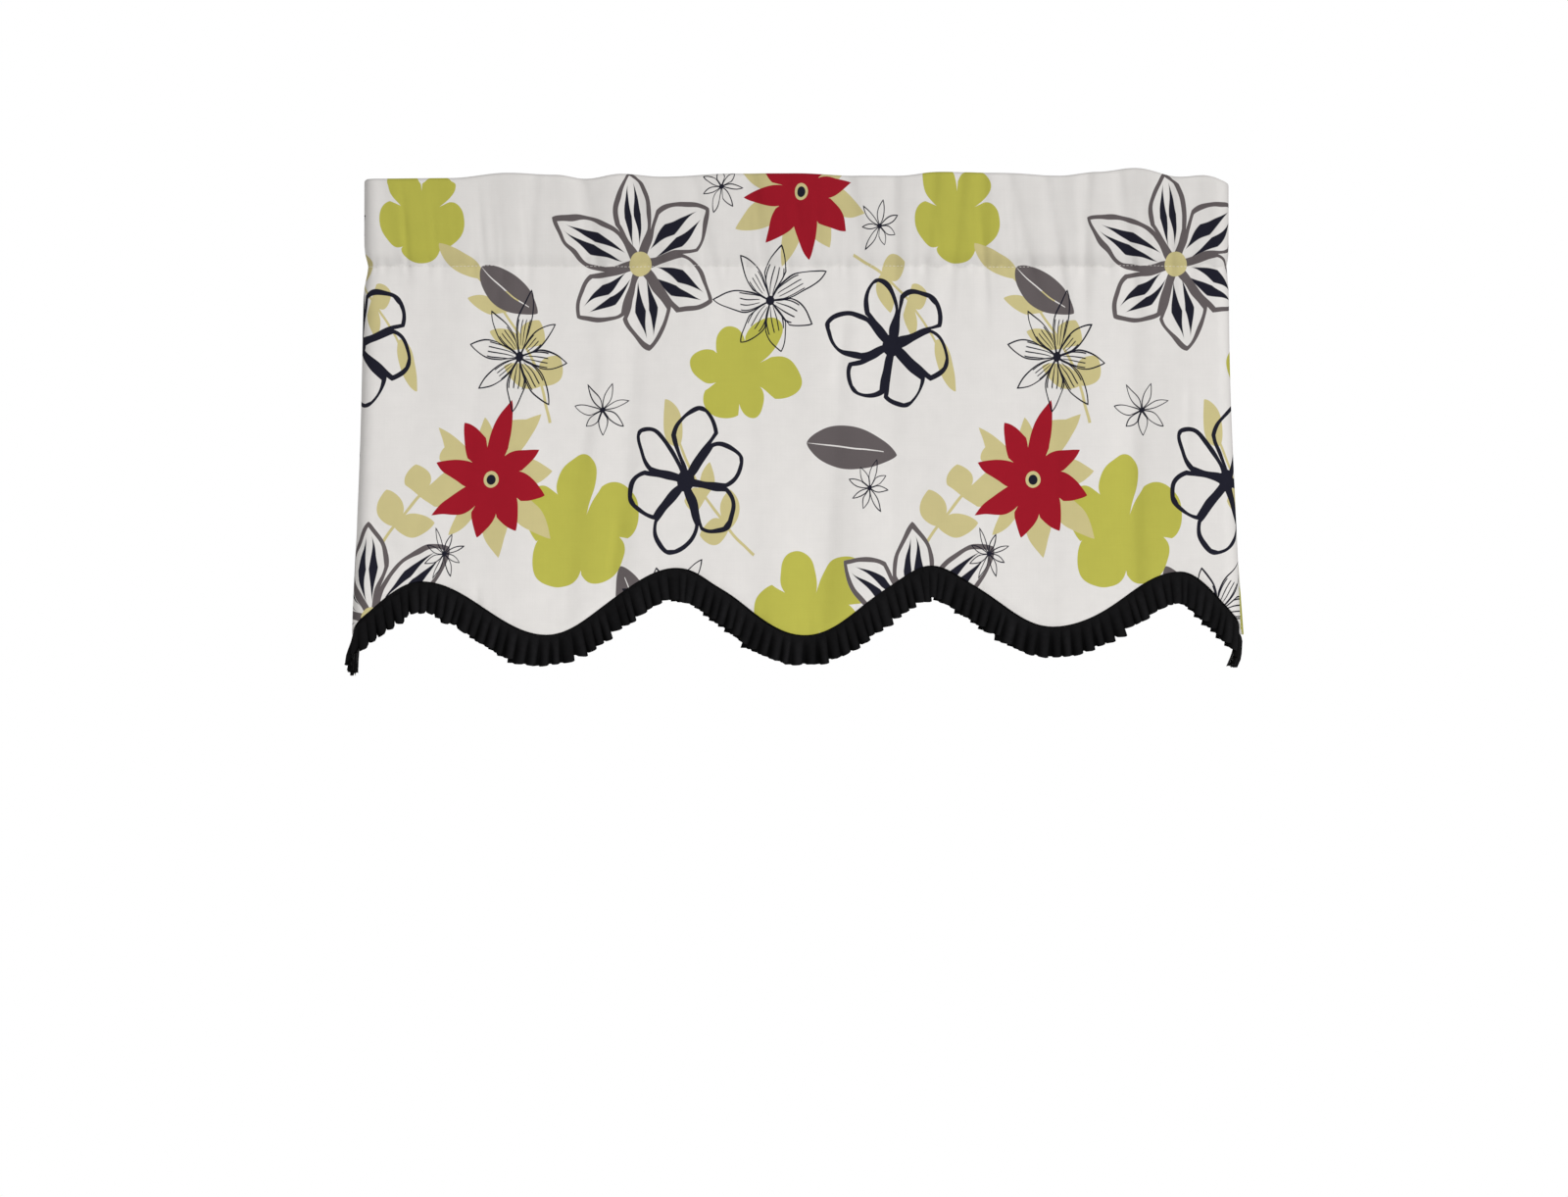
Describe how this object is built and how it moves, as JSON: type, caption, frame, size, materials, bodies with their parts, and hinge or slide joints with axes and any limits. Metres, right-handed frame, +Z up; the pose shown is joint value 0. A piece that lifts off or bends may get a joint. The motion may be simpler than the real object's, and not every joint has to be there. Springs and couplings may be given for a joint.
{
  "type": "window valance",
  "caption": "Short window valance: printed cotton face with a rod pocket, a return at each end and a scalloped hem edged with a black knife-pleated trim.",
  "frame": {"origin": "crown of the top fold in the middle of the face, where a curtain rod inside the pocket bears", "axes": "+X along the width to the right as seen from the front, -Y the front, +Y the wall side, +Z up"},
  "size_m": [0.7589, 0.0924, 0.4253],
  "materials": {
    "printed_cotton": "matte plain weave cotton with a large floral print on its front",
    "black_trim": "matte black cloth, pressed in knife pleats"
  },
  "bodies": {
    "root": {"valance_face": "printed_cotton", "rod_pocket": "printed_cotton", "pleated_trim": "black_trim"}
  },
  "joints": []
}
